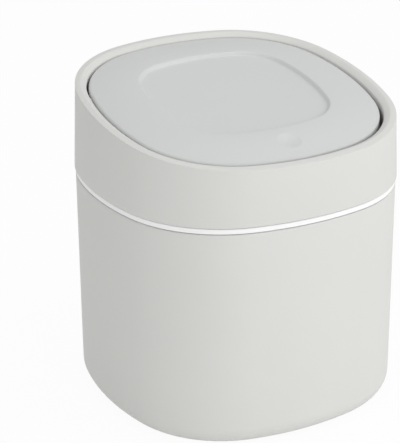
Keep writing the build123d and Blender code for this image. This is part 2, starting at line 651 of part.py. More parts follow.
# Lid panel: the underside of the lid, with knuckles for the pins and slots for the springs
with BuildPart() as lid_panel:
    with BuildSketch(seat(-LID_DEPTH)):
        add(rounded_square(PANEL_HALF))
        for side in (-1, 1):
            with Locations((side * SLOT_INNER_END, HINGE_Y)):
                Rectangle(
                    PANEL_HALF - SLOT_INNER_END,
                    2 * (HINGE_NOTCH_RADIUS + SLOT_CLEARANCE),
                    align=(Align.MIN if side > 0 else Align.MAX, Align.CENTER),
                    mode=Mode.SUBTRACT,
                )
            with Locations((side * SPRING_START, HINGE_Y)):
                Rectangle(
                    ARM_SLOT_WIDTH,
                    SPRING_ARM + ARM_SLOT_END,
                    align=(Align.CENTER, Align.MAX),
                    mode=Mode.SUBTRACT,
                )
    extrude(amount=PANEL_THICKNESS)
    for side in (-1, 1):
        with BuildSketch(across(side * PIN_INNER_END)):
            Circle(KNUCKLE_RADIUS)
            Rectangle(2 * KNUCKLE_RADIUS, LID_DEPTH - HINGE_DROP, align=(Align.CENTER, Align.MAX))
        extrude(amount=side * KNUCKLE_WIDTH)
        with BuildSketch(across(side * PIN_INNER_END)):
            Circle(PIN_RADIUS + HINGE_RUNNING)
        extrude(amount=side * KNUCKLE_WIDTH, mode=Mode.SUBTRACT)
    with BuildSketch(seat(-LID_DEPTH)):
        with Locations(*LID_SCREWS):
            Circle(SCREW_SHANK_RADIUS + SCREW_PASS_CLEARANCE)
        with Locations(*STRIKE_SCREWS):
            Circle(STRIKE_SCREW_SHANK)
    extrude(amount=PANEL_THICKNESS, mode=Mode.SUBTRACT)
    with BuildSketch(seat(PANEL_TOP)):
        with Locations(*STRIKE_SCREWS):
            Circle(STRIKE_BOSS_RADIUS)
            Circle(STRIKE_SCREW_SHANK, mode=Mode.SUBTRACT)
    extrude(amount=STRIKE_SCREW_LENGTH - PANEL_THICKNESS + STRIKE_BOSS_SPARE)
    with BuildSketch(seat(-LID_DEPTH)):
        with Locations((0, LATCH_Y)):
            Rectangle(STRIKE_WIDTH, STRIKE_DEPTH)
    extrude(amount=STRIKE_THICKNESS, mode=Mode.SUBTRACT)
lid_panel.part.label = "lid_panel"

# Screws that draw the panel up into the cover
with BuildPart() as lid_screws:
    add(fasteners(LID_SCREWS, -LID_DEPTH, SCREW_HEAD_RADIUS, SCREW_SHANK_RADIUS, LID_SCREW_LENGTH))
lid_screws.part.label = "lid_screws"

# Steel strike plate, let into the panel above the latch
with BuildPart() as strike_plate:
    with BuildSketch(seat(-LID_DEPTH)):
        with Locations((0, LATCH_Y)):
            Rectangle(STRIKE_WIDTH - STRIKE_GAP, STRIKE_DEPTH - STRIKE_GAP)
        with Locations(*STRIKE_SCREWS):
            Circle(STRIKE_SCREW_HEAD, mode=Mode.SUBTRACT)
    extrude(amount=STRIKE_THICKNESS)
strike_plate.part.label = "strike_plate"

# Two small screws, flush in the strike plate
with BuildPart() as strike_screws:
    with BuildSketch(seat(-LID_DEPTH)):
        with Locations(*STRIKE_SCREWS):
            Circle(STRIKE_SCREW_HEAD)
    extrude(amount=STRIKE_THICKNESS)
    with BuildSketch(seat(-LID_DEPTH)):
        with Locations(*STRIKE_SCREWS):
            Circle(STRIKE_SCREW_SHANK)
    extrude(amount=STRIKE_SCREW_LENGTH)
strike_screws.part.label = "strike_screws"

# Hinge pins: pressed into the throat ring's blocks, running in the lid's knuckles
with BuildPart() as hinge_pin_right:
    with BuildSketch(across(PIN_INNER_END)):
        Circle(PIN_RADIUS)
    extrude(amount=PIN_OUTER_END - PIN_INNER_END)
hinge_pin_right.part.label = "hinge_pin_right"

with BuildPart() as hinge_pin_left:
    mirror(hinge_pin_right.part, about=Plane.YZ)
hinge_pin_left.part.label = "hinge_pin_left"

# Torsion springs round the pins: an arm under the lid's pad and a tang in the hinge boss
with BuildPart() as hinge_spring_right:
    coil = helix_stops(across(SPRING_START), SPRING_RADIUS, SPRING_PITCH, SPRING_TURNS)
    arm_start = coil[0][0]
    coil[0] = (arm_start, LID_PLANE.y_dir)
    arm_end = arm_start - LID_PLANE.y_dir * SPRING_ARM
    last, last_way = coil[-1]
    tang_start = last + last_way * SPRING_BEND + Vector(SPRING_BEND, 0, 0)
    tang_end = tang_start + Vector(SPRING_TANG - SPRING_BEND, 0, 0)
    with BuildLine() as spring_line:
        Line(arm_end, arm_start)
        add(coil_path(coil))
        add(arcs_between(last, last_way, tang_start, Vector(1, 0, 0)))
        Line(tang_start, tang_end)
    with BuildSketch(Plane(origin=arm_end, z_dir=LID_PLANE.y_dir)):
        Circle(SPRING_WIRE / 2)
    sweep(path=spring_line.wires()[0])
hinge_spring_right.part.label = "hinge_spring_right"

with BuildPart() as hinge_spring_left:
    mirror(hinge_spring_right.part, about=Plane.YZ)
hinge_spring_left.part.label = "hinge_spring_left"

# Latch housing: a box hung under the shelf by two ears, with a window for the cam follower
with BuildPart() as latch_housing:
    with BuildSketch(seat(LEDGE_BOTTOM)):
        with Locations((0, LATCH_Y)):
            Rectangle(EAR_WIDTH, LATCH_BORE_DEPTH + 2 * LATCH_WALL_Y)
    extrude(amount=-EAR_THICKNESS)
    with BuildSketch(seat(LEDGE_BOTTOM)):
        with Locations((0, LATCH_Y)):
            Rectangle(LATCH_BORE_WIDTH + 2 * LATCH_WALL_X, LATCH_BORE_DEPTH + 2 * LATCH_WALL_Y)
    extrude(amount=-LATCH_HEIGHT)
    with BuildSketch(seat(LEDGE_BOTTOM)):
        with Locations((0, LATCH_Y)):
            Rectangle(LATCH_BORE_WIDTH, LATCH_BORE_DEPTH)
    extrude(amount=LATCH_FLOOR - LATCH_HEIGHT, mode=Mode.SUBTRACT)
    with BuildSketch(seat(LEDGE_BOTTOM)):
        with Locations(*LATCH_SCREWS):
            Circle(SCREW_SHANK_RADIUS + SCREW_PASS_CLEARANCE)
    extrude(amount=-EAR_THICKNESS, mode=Mode.SUBTRACT)
    with BuildSketch(latch_face(LATCH_FACE_Y, FOLLOWER_PIVOT_HEIGHT)):
        with Locations((0, -FOLLOWER_SLOT_HALF)):
            Rectangle(
                2 * FOLLOWER_SLOT_HALF,
                FOLLOWER_PIN_HEIGHT - FOLLOWER_PIVOT_HEIGHT + 2 * FOLLOWER_SLOT_HALF,
                align=(Align.CENTER, Align.MIN),
            )
    extrude(amount=-FOLLOWER_SLOT_DEPTH, mode=Mode.SUBTRACT)
    with BuildSketch(latch_face(LATCH_FACE_Y, FOLLOWER_PIN_HEIGHT)):
        Rectangle(2 * FOLLOWER_SLOT_HALF, 2 * FOLLOWER_SLOT_HALF)
    extrude(amount=-LATCH_WALL_Y, mode=Mode.SUBTRACT)
    with BuildSketch(latch_face(LATCH_FACE_Y, FOLLOWER_PIVOT_HEIGHT)):
        Circle(WIRE_RADIUS + WIRE_RUNNING)
    extrude(amount=-LATCH_WALL_Y, mode=Mode.SUBTRACT)
latch_housing.part.label = "latch_housing"

# Latch cover: a thin plate that keeps the follower in its slot
with BuildPart() as latch_cover:
    with BuildSketch(latch_face(LATCH_FACE_Y, LEDGE_BOTTOM - LATCH_HEIGHT)):
        Rectangle(
            LATCH_BORE_WIDTH,
            LATCH_HEIGHT - EAR_THICKNESS,
            align=(Align.CENTER, Align.MIN),
        )
    extrude(amount=LATCH_COVER_THICKNESS)
    rearwards = Axis(LID_PLANE.origin, LID_PLANE.y_dir)
    chamfer(latch_cover.faces().sort_by(rearwards)[-1].edges(), LATCH_COVER_THICKNESS / 2)
latch_cover.part.label = "latch_cover"

# Screws that hold the latch up against the shelf
with BuildPart() as latch_screws:
    add(
        fasteners(
            LATCH_SCREWS,
            LEDGE_BOTTOM - EAR_THICKNESS,
            SCREW_HEAD_RADIUS,
            SCREW_SHANK_RADIUS,
            LATCH_SCREW_LENGTH,
        )
    )
latch_screws.part.label = "latch_screws"

# Latch plunger: it carries the magnet, and the heart shaped track runs down its rear face
with BuildPart() as latch_plunger:
    with BuildSketch(seat(PLUNGER_TOP)):
        with Locations((0, LATCH_Y)):
            Rectangle(PLUNGER_WIDTH, PLUNGER_DEPTH)
    extrude(amount=-PLUNGER_LENGTH)
    with BuildSketch(seat(PLUNGER_TOP)):
        with Locations((0, LATCH_Y)):
            Rectangle(MAGNET_WIDTH, MAGNET_THICKNESS + 2 * POLE_THICKNESS)
    extrude(amount=MAGNET_FOOT - PLUNGER_TOP, mode=Mode.SUBTRACT)
    with BuildSketch(seat(PLUNGER_TOP - PLUNGER_LENGTH)):
        with Locations((0, LATCH_Y)):
            Circle(PUSH_SPRING_BORE)
    extrude(amount=PUSH_SPRING_BORE_DEPTH, mode=Mode.SUBTRACT)
    with BuildSketch(latch_face(LATCH_Y + PLUNGER_DEPTH / 2, FOLLOWER_PIN_HEIGHT)):
        with BuildLine():
            FilletPolyline(*TRACK_OUTLINE, radius=TRACK_ROUND, close=True)
        make_face()
        with BuildLine():
            FilletPolyline(*HEART_OUTLINE, radius=HEART_ROUND, close=True)
        make_face(mode=Mode.SUBTRACT)
    extrude(amount=-TRACK_DEPTH, mode=Mode.SUBTRACT)
latch_plunger.part.label = "latch_plunger"

# Latch magnet, between two steel pole plates that stand a little proud of the plunger
with BuildPart() as latch_magnet:
    with BuildSketch(seat(MAGNET_FOOT)):
        with Locations((0, LATCH_Y)):
            Rectangle(MAGNET_WIDTH, MAGNET_THICKNESS)
    extrude(amount=MAGNET_HEIGHT)
latch_magnet.part.label = "latch_magnet"

with BuildPart() as pole_plates:
    with BuildSketch(seat(MAGNET_FOOT)):
        with Locations((0, LATCH_Y)):
            with GridLocations(0, MAGNET_THICKNESS + POLE_THICKNESS, 1, 2):
                Rectangle(MAGNET_WIDTH, POLE_THICKNESS)
    extrude(amount=POLE_HEIGHT)
pole_plates.part.label = "pole_plates"

# Cam follower: a wire staple that pivots in the housing and rides in the heart track
with BuildPart() as latch_follower:
    with BuildLine(latch_face(0, 0)) as follower_line:
        FilletPolyline(
            (0, FOLLOWER_PIVOT_HEIGHT, FOLLOWER_PIVOT_END_Y),
            (0, FOLLOWER_PIVOT_HEIGHT, FOLLOWER_Y),
            (0, FOLLOWER_PIN_HEIGHT, FOLLOWER_Y),
            (0, FOLLOWER_PIN_HEIGHT, FOLLOWER_PIN_END_Y),
            radius=WIRE_BEND,
        )
    with BuildSketch(latch_face(FOLLOWER_PIVOT_END_Y, FOLLOWER_PIVOT_HEIGHT)):
        Circle(WIRE_RADIUS)
    sweep(path=follower_line.wires()[0])
latch_follower.part.label = "latch_follower"

# Latch spring, between the housing's floor and the plunger's bore
with BuildPart() as latch_spring:
    rise = PLUNGER_TOP - PLUNGER_LENGTH + PUSH_SPRING_BORE_DEPTH - LATCH_SPRING_FOOT - PUSH_SPRING_WIRE
    foot = LATCH_SPRING_FOOT + PUSH_SPRING_WIRE / 2
    spring_axis = Plane(
        origin=LID_PLANE.from_local_coords(Vector(0, LATCH_Y, foot)),
        x_dir=(1, 0, 0),
        z_dir=LID_PLANE.z_dir,
    )
    turns = helix_stops(spring_axis, PUSH_SPRING_RADIUS, rise / PUSH_SPRING_TURNS, PUSH_SPRING_TURNS)
    with BuildLine() as push_line:
        add(coil_path(turns))
    with BuildSketch(Plane(origin=turns[0][0], z_dir=turns[0][1])):
        Circle(PUSH_SPRING_WIRE / 2)
    sweep(path=push_line.wires()[0])
latch_spring.part.label = "latch_spring"

PIECES = [
    outer_bucket,
    foot_pads,
    bag_ring,
    collar,
    throat_ring,
    throat_screws,
    lid_bumpers,
    hinge_pin_left,
    hinge_pin_right,
    hinge_spring_left,
    hinge_spring_right,
    lid_cover,
    lid_panel,
    lid_screws,
    strike_plate,
    strike_screws,
    latch_housing,
    latch_cover,
    latch_screws,
    latch_spring,
    latch_follower,
    latch_plunger,
    latch_magnet,
    pole_plates,
]
print("least gap in a hinge spring", least_gap(spring_line.wires()[0], SPRING_WIRE, SPRING_TURNS))
os.makedirs("parts", exist_ok=True)
for piece in PIECES:
    print(piece.part.label, len(piece.part.solids()), round(piece.part.volume, 2))
    export_step(piece.part, f"parts/{piece.part.label}.step")
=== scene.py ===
"""A push top countertop bin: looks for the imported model, laid out as a Blender add-on.

Metres, +Z up, the front faces -Y. Each shell that shows is drawn as a stack of loops of one
rounded square outline, and the latch spring is wound from a ring of wire. The other parts keep
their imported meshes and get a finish.
"""

import json
from math import atan2, cos, pi, radians, sin, sqrt, tan

import bmesh
import bpy
from bpy.props import FloatProperty, FloatVectorProperty, IntProperty, PointerProperty
from mathutils import Matrix, Vector


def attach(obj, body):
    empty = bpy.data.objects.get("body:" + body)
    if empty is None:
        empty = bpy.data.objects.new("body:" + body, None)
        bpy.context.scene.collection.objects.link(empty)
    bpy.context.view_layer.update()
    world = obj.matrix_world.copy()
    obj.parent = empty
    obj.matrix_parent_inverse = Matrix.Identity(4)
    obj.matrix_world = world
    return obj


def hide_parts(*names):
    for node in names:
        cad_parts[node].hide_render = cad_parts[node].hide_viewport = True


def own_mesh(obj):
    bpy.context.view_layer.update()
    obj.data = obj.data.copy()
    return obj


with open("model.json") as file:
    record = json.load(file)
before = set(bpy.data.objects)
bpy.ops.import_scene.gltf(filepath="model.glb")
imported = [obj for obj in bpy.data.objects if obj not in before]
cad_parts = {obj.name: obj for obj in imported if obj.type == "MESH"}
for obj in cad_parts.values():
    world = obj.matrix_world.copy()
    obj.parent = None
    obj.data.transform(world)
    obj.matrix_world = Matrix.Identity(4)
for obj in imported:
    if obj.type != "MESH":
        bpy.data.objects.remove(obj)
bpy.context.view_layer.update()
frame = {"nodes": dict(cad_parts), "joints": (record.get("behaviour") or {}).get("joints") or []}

bl_info = {
    "name": "Push Top Bin",
    "version": (1, 0, 0),
    "blender": (4, 5, 0),
    "location": "3D View > Sidebar > Push Bin",
    "description": "Builds and finishes a push top countertop bin round its packed frame",
    "category": "Object",
}

MM = 0.001
IMAGE_WIDTH, IMAGE_HEIGHT = 400, 443
QUARTER = pi / 2

# Fineness of the meshes
LOOP = 288  # vertices in each loop, an eighth of them on each side and each corner
BASE_STEPS = 14
WALL_STEPS = 4
FLANK_STEPS = 8
CROWN_STEPS = 24
DISH_STEPS = 14
BAR_SIDES = 48
WIRE_SIDES = 12
TURN_STEPS = 40  # steps in each turn of the latch spring
MARK_CUTS = 3  # cuts in each face round the push mark
MARK_FINE_SHARE = 1.4  # reach of the finer faces round the push mark, to its radius
SMOOTH_UNDER = 40  # degrees between faces that are shaded as one surface

# Shares and exponents of the shapes
HALFWAY = 0.5
POLE_SHARE = 0.01  # size of the last loop before a pole, to the loop it is drawn in from
DISH_LEAN = 1.2  # above 1, the dish's wall is steepest below its middle
MARK_SOFTNESS = 1.25  # 1 leaves a crisp edge round the push mark, 2 a soft one
FACING_UP = 0.5  # least share of a face's normal that points up from the lid
POST_OVERLAP = 0.1 * MM  # how far the posts enter the collar's lip

# Surface patterns
CLOUD_SCALE = 22.0  # clouding about 45 mm across
NOISE_LOW, NOISE_HIGH = 0.3, 0.7  # where nearly all of a noise pattern's values lie
CLOUD_SHADE = 0.985  # brightness of the darkest clouding
PLASTIC_GLOSS_SPREAD = 0.03
PLASTIC_BUMP, RUBBER_BUMP = 0.35, 0.5
RUBBER_GRAIN_DEPTH = 0.02 * MM
STREAK_GLOSS_BELOW, STREAK_GLOSS_ABOVE = 0.06, 0.08

# Studio, in metres
FLOOR_SIZE = 12
FLOOR_GLOW = 0.94  # share of the floor that glows white, to the camera and to glossy rays
NEAREST, FURTHEST = 0.01, 30
LAMPS = (
    ("key_lamp", (0.9, -0.75, 0.85), 0.9, "key_power"),
    ("fill_lamp", (-0.2, -1.3, 0.45), 0.9, "fill_power"),
    ("top_lamp", (0.0, -0.1, 1.3), 1.0, "top_power"),
)


def linear(hex_colour):
    """Return an sRGB hex colour as linear red, green and blue."""
    shares = [int(hex_colour[i : i + 2], 16) / 255 for i in (1, 3, 5)]
    return tuple(c / 12.92 if c <= 0.04045 else ((c + 0.055) / 1.055) ** 2.4 for c in shares)


def length(name, description, millimetres):
    """Return a length property with its default given in millimetres."""
    return FloatProperty(
        name=name, description=description, default=millimetres * MM, unit="LENGTH", precision=5
    )


def colour(name, description, hex_colour):
    """Return a colour property with its default given as an sRGB hex value."""
    return FloatVectorProperty(
        name=name, description=description, subtype="COLOR", default=linear(hex_colour), min=0, max=1
    )


def angle(name, description, degrees):
    """Return an angle property with its default given in degrees."""
    return FloatProperty(
        name=name, description=description, default=radians(degrees), subtype="ANGLE"
    )


# ---------------------------------------------------------------- sizes and colours


class BinSizes(bpy.types.PropertyGroup):
    """Sizes of the modelled pieces. The rim, dish and push mark follow the photograph more closely."""

    half_width: length("Half width", "Collar's foot, from the middle to a side", 75.0)
    side_radius: length("Side radius", "Bulge of the four sides", 133.5)
    corner_radius: length("Corner radius", "Round of the four corners", 56.3)
    bucket_top: length("Bucket top", "Height of the bucket's edge", 112.25)
    bucket_step_in: length("Bucket step in", "Bucket's edge, in from the collar's foot", 0.55)
    bucket_wall: length("Bucket wall", "Thickness of the bucket's wall", 2.2)
    bucket_floor: length("Bucket floor", "Thickness of the bucket's floor", 2.6)
    bucket_draft: angle("Bucket draft", "Lean of the bucket's wall", 0.3)
    bucket_base_round: length("Base round", "Round round the bucket's base", 10.8)
    bucket_lip_round: length("Bucket lip round", "Round of the bucket's edge", 0.6)
    foot_shows: length("Foot shows", "Height of the base above the worktop", 0.6)
    base_recess_half: length("Base recess", "Half width of the hollow under the base", 38.0)
    base_recess_depth: length("Base recess depth", "Depth of the hollow under the base", 1.0)
    ring_height: length("Ring height", "Bag ring between bucket and collar", 3.3)
    ring_band_height: length("Band height", "Band of the bag ring that shows", 2.5)
    ring_band_step_in: length("Band step in", "Band, in from the bucket's edge", 0.15)
    ring_groove_depth: length("Ring groove", "Depth of the grooves over and under the band", 1.3)
    ring_band_round: length("Band round", "Round of the band's edges", 0.35)
    ring_wall: length("Ring wall", "Thickness of the ring's skirt", 1.6)
    ring_skirt: length("Ring skirt", "Depth of the ring's skirt in the bucket", 14.0)
    ring_spigot: length("Ring spigot", "Height of the ring inside the collar", 6.0)
    slip: length("Slip", "Clearance of pieces that lift off each other", 0.35)
    collar_wall: length("Collar wall", "Thickness of the collar's wall", 2.4)
    collar_draft: angle("Collar draft", "Lean of the collar's wall", 2.11)
    collar_foot_round: length("Collar foot round", "Round of the collar's lower edge", 0.5)
    seat_height: length("Seat height", "Lid's edge above the worktop, in the middle", 151.4)
    seat_slope: angle("Seat slope", "Slope of the lid's edge, up to the back", 7.86)
    rim_height: length("Rim height", "Crest of the rim above the lid's edge", 1.8)
    rim_thickness: length("Rim thickness", "Thickness of the collar's top", 2.5)
    rim_shoulder: length("Rim shoulder", "Fall of the rim's outer flank, from its crest", 0.45)
    rim_slope: length("Rim slope", "Width of the inner flank, from the crest to the throat", 3.0)
    rim_fullness: FloatProperty(
        name="Rim fullness", description="Exponent of the flanks: 1 is straight, 2 is round", default=1.25
    )
    rim_sink: length("Rim sink", "Foot of the inner flank, below the lid's edge", 0.0)
    throat_step_in: length("Throat step in", "Throat, in from the collar's foot", 6.9)
    lip_wall: length("Lip wall", "Thickness of the lip round the throat", 1.8)
    lip_depth: length("Lip depth", "Depth of the lip round the throat", 3.0)
    post_radius: length("Post radius", "Posts inside the collar for the screws", 2.2)
    post_step_out: length("Post step out", "Posts, out from the throat", 1.1)
    post_foot: length("Post foot", "Foot of the posts, below the lid's edge", 10.0)
    side_post_y: length("Side post", "Side posts, behind the middle", 14.0)
    lid_gap: length("Lid gap", "Gap between throat and lid", 1.5)
    lid_set_back: length("Lid set back", "Closed lid's middle, behind the throat's middle", 0.8)
    lid_wall: length("Lid wall", "Thickness of the lid cover", 2.0)
    lid_depth: length("Lid depth", "Depth of the lid's skirt", 8.0)
    lid_edge_round: length("Lid edge round", "Round of the lid's edge", 1.2)
    crown_height: length("Crown height", "Rise of the lid from its edge to the dish", 3.4)
    crown_fullness: FloatProperty(
        name="Crown fullness", description="1 is a straight cone, 2 is level at the dish", default=1.7
    )
    dish_step_in: length("Dish step in", "Dish's edge, in from the lid's edge", 23.9)
    dish_depth: length("Dish depth", "Depth of the dish", 1.8)
    dish_wall_width: length("Dish wall", "Width of the dish's sloping wall", 2.1)
    mark_step_in: length("Mark step in", "Push mark, in from the lid's edge", 13.9)
    mark_radius: length("Mark radius", "Radius of the push mark", 6.0)
    mark_depth: length("Mark depth", "Depth of the push mark", 1.0)
    hinge_y: length("Hinge", "Hinge axis behind the middle", 26.0)
    hinge_drop: length("Hinge drop", "Hinge axis below the lid's edge", 4.0)
    notch_radius: length("Notch radius", "Notches in the lid for the hinge", 3.3)
    notch_inner_end: length("Notch end", "Inner end of a hinge notch, from the middle", 53.84)
    latch_step_in: length("Latch step in", "Middle of the latch, in from the throat", 15.1)
    coil_foot: length("Coil foot", "Foot of the latch spring, below the lid's edge", 30.0)
    coil_length: length("Coil length", "Length of the latch spring with the latch closed", 13.1)
    coil_radius: length("Coil radius", "Latch spring, from its axis to the middle of its wire", 1.9)
    coil_wire: length("Coil wire", "Thickness of the latch spring's wire", 0.5)
    coil_turns: IntProperty(name="Coil turns", description="Turns of the latch spring", default=7)


class BinFinishes(bpy.types.PropertyGroup):
    """Colours of the bin's materials."""

    shell: colour("Shell", "Bucket and collar", "#D9D9D6")
    lid: colour("Lid", "Lid cover", "#D2D4D3")
    ring: colour("Ring", "Bag ring", "#FAFAFA")
    # Frame: a darker grey plastic, made darker still so that the throat ring seen through the lid gap
    # paints the shade in the gap.
    frame: colour("Frame", "Throat ring, lid panel and latch housing", "#A8A8A6")
    acetal: colour("Acetal", "Latch plunger", "#E6E6DF")
    rubber: colour("Rubber", "Feet and bumpers", "#8F8F8C")
    zinc: colour("Zinc", "Screws", "#B9BABC")
    nickel: colour("Nickel", "Strike plate and pole plates", "#C4C2BC")
    steel: colour("Steel", "Pins and springs", "#A9AAAD")
    ferrite: colour("Ferrite", "Latch magnet", "#2F2F31")


class BinStage(bpy.types.PropertyGroup):
    """Camera, lamps and floor."""

    azimuth: angle("Azimuth", "Camera's turn round the bin from the front", -28.96)
    elevation: angle("Elevation", "Camera's height above the horizon", 23.66)
    distance: length("Distance", "Camera to the point it looks at", 952.9)
    target_height: length("Target height", "Height of the point the camera looks at", 70.0)
    focal_pixels: FloatProperty(
        name="Focal length", description="Focal length in pixels of the image", default=1897.0
    )
    target_column: FloatProperty(
        name="Target column", description="Image column of the point looked at", default=234.6
    )
    target_row: FloatProperty(
        name="Target row", description="Image row of the point looked at", default=251.5
    )
    world_strength: FloatProperty(name="World", description="Strength of the sky light", default=0.61)
    key_power: FloatProperty(name="Key", description="Power of the key lamp", default=4.8, unit="POWER")
    fill_power: FloatProperty(name="Fill", description="Power of the fill lamp", default=3.8, unit="POWER")
    top_power: FloatProperty(name="Top", description="Power of the top lamp", default=2.4, unit="POWER")
    floor: colour("Floor", "Studio floor", "#F4F4F4")


# ---------------------------------------------------------------- materials


def add_node(tree, kind, settings=None, **links):
    """Add a node, set its sockets and attributes, and link its inputs by name."""
    node = tree.nodes.new(kind)
    for key, value in (settings or {}).items():
        if key in node.inputs:
            node.inputs[key].default_value = value
        else:
            setattr(node, key, value)
    for key, source in links.items():
        tree.links.new(source, node.inputs[key.replace("_", " ")])
    return node


def new_material(name, base, roughness, metallic=0.0, ior=1.5):
    """Return a material with a principled surface, its tree, and its surface node."""
    material = bpy.data.materials.new(name)
    material.use_nodes = True
    tree = material.node_tree
    surface = tree.nodes["Principled BSDF"]
    surface.inputs["Base Color"].default_value = (*base, 1)
    surface.inputs["Roughness"].default_value = roughness
    surface.inputs["Metallic"].default_value = metallic
    surface.inputs["IOR"].default_value = ior
    material.diffuse_color = (*base, 1)
    return material, tree, surface


def moulded_plastic(name, base, roughness, grain, depth):
    """Polypropylene or acetal from a finely sparked tool: soft sheen, faint grain, slight clouding."""
    material, tree, surface = new_material(name, base, roughness, ior=1.49)
    place = add_node(tree, "ShaderNodeTexCoord").outputs["Object"]
    grains = add_node(tree, "ShaderNodeTexNoise", {"Scale": 1 / grain, "Detail": 3.0}, Vector=place)
    cloud = add_node(tree, "ShaderNodeTexNoise", {"Scale": CLOUD_SCALE, "Detail": 2.0}, Vector=place)
    tint = add_node(
        tree,
        "ShaderNodeMapRange",
        {"From Min": NOISE_LOW, "From Max": NOISE_HIGH, "To Min": CLOUD_SHADE, "To Max": 1.0},
        Value=cloud.outputs["Fac"],
    )
    shade = add_node(tree, "ShaderNodeVectorMath", {"operation": "SCALE"}, Scale=tint.outputs["Result"])
    shade.inputs[0].default_value = base
    tree.links.new(shade.outputs["Vector"], surface.inputs["Base Color"])
    gloss = add_node(
        tree,
        "ShaderNodeMapRange",
        {
            "From Min": NOISE_LOW,
            "From Max": NOISE_HIGH,
            "To Min": roughness - PLASTIC_GLOSS_SPREAD,
            "To Max": roughness + PLASTIC_GLOSS_SPREAD,
        },
        Value=grains.outputs["Fac"],
    )
    tree.links.new(gloss.outputs["Result"], surface.inputs["Roughness"])
    bump = add_node(
        tree,
        "ShaderNodeBump",
        {"Strength": PLASTIC_BUMP, "Distance": depth},
        Height=grains.outputs["Fac"],
    )
    tree.links.new(bump.outputs["Normal"], surface.inputs["Normal"])
    return material


def plated_steel(name, base, roughness, streak):
    """Plated or drawn steel: metal, whose gloss varies finely from drawing or rolling."""
    material, tree, surface = new_material(name, base, roughness, metallic=1.0)
    place = add_node(tree, "ShaderNodeTexCoord").outputs["Object"]
    lines = add_node(tree, "ShaderNodeTexNoise", {"Scale": 1 / streak, "Detail": 2.0}, Vector=place)
    gloss = add_node(
        tree,
        "ShaderNodeMapRange",
        {"To Min": roughness - STREAK_GLOSS_BELOW, "To Max": roughness + STREAK_GLOSS_ABOVE},
        Value=lines.outputs["Fac"],
    )
    tree.links.new(gloss.outputs["Result"], surface.inputs["Roughness"])
    return material


def dull_grained(name, base, roughness, grain):
    """Thermoplastic rubber or sintered ferrite: dull, with a dusty fine grain."""
    material, tree, surface = new_material(name, base, roughness, ior=1.52)
    place = add_node(tree, "ShaderNodeTexCoord").outputs["Object"]
    grains = add_node(tree, "ShaderNodeTexNoise", {"Scale": 1 / grain, "Detail": 4.0}, Vector=place)
    bump = add_node(
        tree,
        "ShaderNodeBump",
        {"Strength": RUBBER_BUMP, "Distance": RUBBER_GRAIN_DEPTH},
        Height=grains.outputs["Fac"],
    )
    tree.links.new(bump.outputs["Normal"], surface.inputs["Normal"])
    return material


def dress(node, material):
    """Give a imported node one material."""
    mesh = frame["nodes"][node].data
    mesh.materials.clear()
    mesh.materials.append(material)


class BIN_OT_finishes(bpy.types.Operator):
    """Make the bin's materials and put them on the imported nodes"""

    bl_idname = "push_bin.finishes"
    bl_label = "Finishes"

    def execute(self, context):
        chosen = context.scene.push_bin_finishes
        shell = moulded_plastic("moulded_polypropylene_shell", chosen.shell, 0.5, 0.45 * MM, 0.01 * MM)
        lid = moulded_plastic("moulded_polypropylene_lid", chosen.lid, 0.48, 0.4 * MM, 0.01 * MM)
        ring = moulded_plastic("moulded_polypropylene_ring", chosen.ring, 0.34, 0.5 * MM, 0.004 * MM)
        # Darker grey frame plastic, partly painted shade for the lid gap seen over the throat ring.
        inner = moulded_plastic("moulded_polypropylene_frame", chosen.frame, 0.55, 0.5 * MM, 0.015 * MM)
        acetal = moulded_plastic("moulded_acetal", chosen.acetal, 0.36, 0.5 * MM, 0.004 * MM)
        rubber = dull_grained("thermoplastic_rubber", chosen.rubber, 0.78, 0.3 * MM)
        zinc = plated_steel("zinc_plated_steel", chosen.zinc, 0.36, 0.2 * MM)
        nickel = plated_steel("nickel_plated_steel", chosen.nickel, 0.3, 0.3 * MM)
        steel = plated_steel("drawn_spring_steel", chosen.steel, 0.28, 0.15 * MM)
        ferrite = dull_grained("sintered_ferrite", chosen.ferrite, 0.6, 0.2 * MM)
        finishes = {
            shell: ("outer_bucket", "collar"),
            lid: ("lid_cover",),
            ring: ("bag_ring",),
            inner: ("throat_ring", "lid_panel", "latch_housing", "latch_cover"),
            acetal: ("latch_plunger",),
            rubber: ("foot_pads", "lid_bumpers"),
            zinc: ("throat_screws", "lid_screws", "latch_screws", "strike_screws"),
            nickel: ("strike_plate", "pole_plates"),
            steel: (
                "hinge_pin_left",
                "hinge_pin_right",
                "hinge_spring_left",
                "hinge_spring_right",
                "latch_spring",
                "latch_follower",
            ),
            ferrite: ("latch_magnet",),
        }
        for material, nodes in finishes.items():
            for node in nodes:
                dress(node, material)
        return {"FINISHED"}


# ---------------------------------------------------------------- loops and shells


def arc_centres(sizes):
    """Return how far out the arcs' centres are, and the half angle of a side's arc.

    A side's centre is on an axis and a corner's on a diagonal, where the two arcs meet smoothly.
    """
    side = sizes.half_width - sizes.side_radius
    step = sizes.side_radius - sizes.corner_radius
    corner = (2 * side + sqrt(8 * step**2 - 4 * side**2)) / 4
    return side, corner, atan2(corner, corner - side)


def outline(sizes, turn, half):
    """Return x and y on the outline of a half width, where it faces in the direction of turn."""
    inset = sizes.half_width - half
    side, corner, spread = arc_centres(sizes)
    quarter = round(turn / QUARTER) * QUARTER
    if abs(turn - quarter) <= spread:
        centre = Vector((side * cos(quarter), side * sin(quarter)))
        radius = sizes.side_radius - inset
    else:
        quarter = turn // QUARTER * QUARTER
        centre = Vector((cos(quarter) - sin(quarter), sin(quarter) + cos(quarter))) * corner
        radius = sizes.corner_radius - inset
    return centre + radius * Vector((cos(turn), sin(turn)))


def turns(sizes):
    """Return the directions of a loop's vertices, evenly spread over the sides and the corners."""
    spread = arc_centres(sizes)[2]
    arc = LOOP // 8
    found = []
    for quarter in range(4):
        start = quarter * QUARTER - spread
        found += [start + 2 * spread * n / arc for n in range(arc)]
        found += [start + 2 * spread + (QUARTER - 2 * spread) * n / arc for n in range(arc)]
    return found


def level(sizes, half, height):
    """Return the rule of a level loop: the outline of a half width at a height."""
    return lambda turn: Vector((*outline(sizes, turn, half), height))


